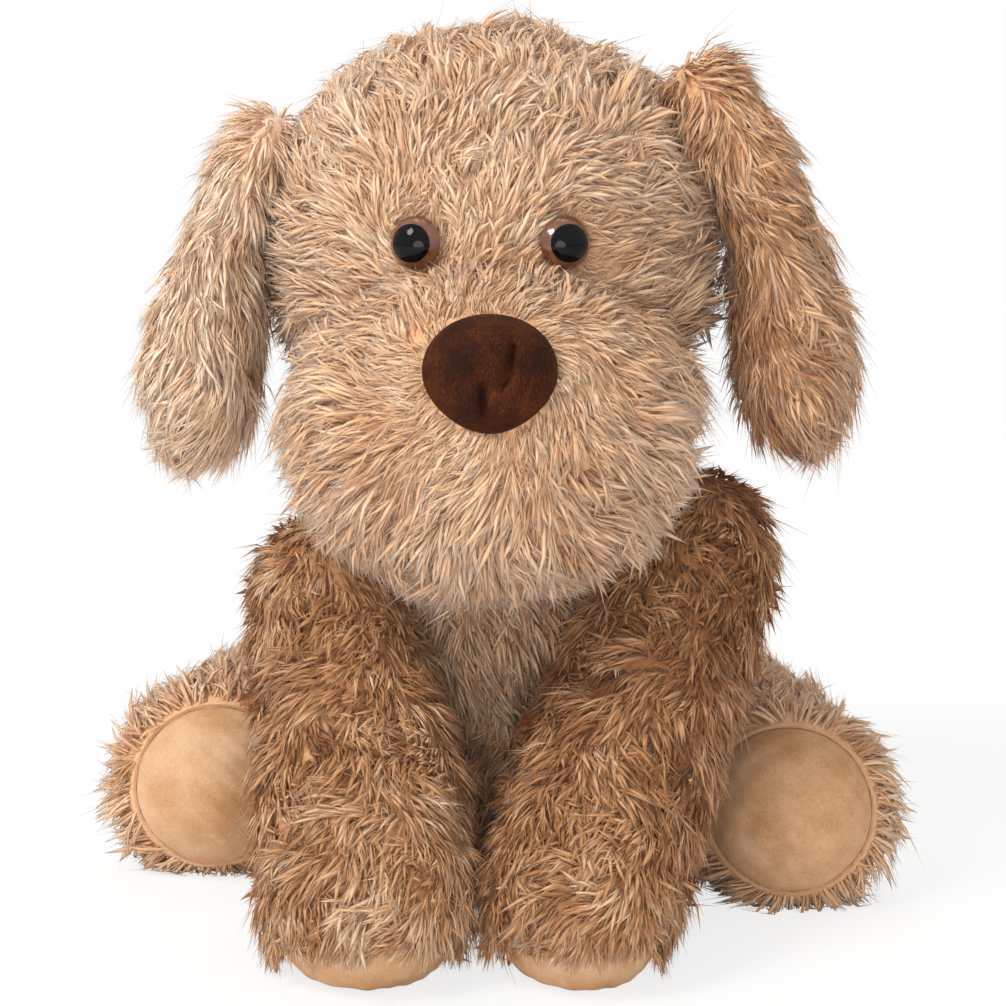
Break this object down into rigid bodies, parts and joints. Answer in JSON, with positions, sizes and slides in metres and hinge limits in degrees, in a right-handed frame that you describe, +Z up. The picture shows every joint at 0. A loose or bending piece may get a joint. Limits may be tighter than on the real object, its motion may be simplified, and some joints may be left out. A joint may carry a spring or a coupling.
{
  "type": "plush dog",
  "caption": "Sitting stuffed toy dog with a broad muzzle, drooping ears, long curly pile, bare short-pile soles, a velour nose and domed plastic eyes.",
  "frame": {"origin": "on the floor, under the middle of the whole dog's box", "axes": "+Z up, -Y the way the dog faces, +X the dog's left"},
  "size_m": [0.2664, 0.2757, 0.2964],
  "materials": {
    "cream_pile": "cut long pile, matt with a slight sheen",
    "brown_pile": "cut long pile, matt with a slight sheen",
    "sand_velboa": "short brushed pile",
    "cocoa_velour": "short velour pile",
    "fibre_filling": "loose polyester fibre",
    "cotton_bag": "plain woven cotton",
    "sewing_thread": "spun polyester thread",
    "iris_plastic": "polished",
    "pupil_plastic": "polished",
    "washer_plastic": "moulded",
    "pellet_plastic": "moulded"
  },
  "bodies": {
    "torso": {"chest_panel": "brown_pile", "back_panel_left": "brown_pile", "back_panel_right": "brown_pile", "seat_panel": "brown_pile", "torso_filling": "fibre_filling", "pellet_bag": "cotton_bag", "pellets": "pellet_plastic"},
    "neck": {"neck_stitching": "sewing_thread"},
    "head": {"crown_panel": "cream_pile", "cheek_panel_left": "cream_pile", "cheek_panel_right": "cream_pile", "nape_panel": "cream_pile", "muzzle_panel_left": "cream_pile", "muzzle_panel_right": "cream_pile", "head_base_panel": "cream_pile", "head_filling": "fibre_filling", "nose_cover": "cocoa_velour", "nose_filling": "fibre_filling", "eye_iris_left": "iris_plastic", "eye_iris_right": "iris_plastic", "eye_pupil_left": "pupil_plastic", "eye_pupil_right": "pupil_plastic", "eye_washer_left": "washer_plastic", "eye_washer_right": "washer_plastic"},
    "tail": {"tail_top_panel": "brown_pile", "tail_under_panel": "brown_pile", "tail_filling": "fibre_filling"},
    "ear_left": {"ear_outer_panel_left": "cream_pile", "ear_inner_panel_left": "brown_pile", "ear_wadding_left": "fibre_filling"},
    "front_leg_left": {"front_leg_outer_panel_left": "brown_pile", "front_leg_inner_panel_left": "brown_pile", "front_leg_filling_left": "fibre_filling", "front_sole_left": "sand_velboa"},
    "hind_leg_left": {"hind_leg_outer_panel_left": "cream_pile", "hind_leg_inner_panel_left": "cream_pile", "hind_leg_filling_left": "fibre_filling", "hind_sole_left": "sand_velboa"},
    "ear_right": {"ear_outer_panel_right": "cream_pile", "ear_inner_panel_right": "brown_pile", "ear_wadding_right": "fibre_filling"},
    "front_leg_right": {"front_leg_outer_panel_right": "brown_pile", "front_leg_inner_panel_right": "brown_pile", "front_leg_filling_right": "fibre_filling", "front_sole_right": "sand_velboa"},
    "hind_leg_right": {"hind_leg_outer_panel_right": "cream_pile", "hind_leg_inner_panel_right": "cream_pile", "hind_leg_filling_right": "fibre_filling", "hind_sole_right": "sand_velboa"}
  },
  "joints": [
    {"name": "head_turn", "type": "hinge", "parent": "torso", "child": "neck", "pos_m": [0, -0.008, 0.134], "axis": [0, 0, 1], "range_deg": [-20, 20]},
    {"name": "head_nod", "type": "hinge", "parent": "neck", "child": "head", "pos_m": [0, -0.008, 0.134], "axis": [-1, 0, 0], "range_deg": [-5, 15]},
    {"name": "ear_lift_left", "type": "hinge", "parent": "head", "child": "ear_left", "pos_m": [0.07095, -0.014, 0.27299], "axis": [0, -1, 0], "range_deg": [0, 90]},
    {"name": "front_leg_lift_left", "type": "hinge", "parent": "torso", "child": "front_leg_left", "pos_m": [0.0705, -0.0275, 0.118], "axis": [-1, 0, 0], "range_deg": [0, 40]},
    {"name": "hind_leg_splay_left", "type": "hinge", "parent": "torso", "child": "hind_leg_left", "pos_m": [0.081, 0.042, 0.035], "axis": [0, 0, 1], "range_deg": [0, 30]},
    {"name": "ear_lift_right", "type": "hinge", "parent": "head", "child": "ear_right", "pos_m": [-0.07511, -0.014, 0.2591], "axis": [0, 1, 0], "range_deg": [0, 90]},
    {"name": "front_leg_lift_right", "type": "hinge", "parent": "torso", "child": "front_leg_right", "pos_m": [-0.056, -0.034, 0.104], "axis": [-1, 0, 0], "range_deg": [0, 40]},
    {"name": "hind_leg_splay_right", "type": "hinge", "parent": "torso", "child": "hind_leg_right", "pos_m": [-0.081, 0.042, 0.035], "axis": [0, 0, -1], "range_deg": [0, 30]},
    {"name": "tail_wag", "type": "hinge", "parent": "torso", "child": "tail", "pos_m": [0, 0.086, 0.024], "axis": [0, 0, 1], "range_deg": [-30, 30], "stiffness_Nm_per_rad": 0.004}
  ]
}
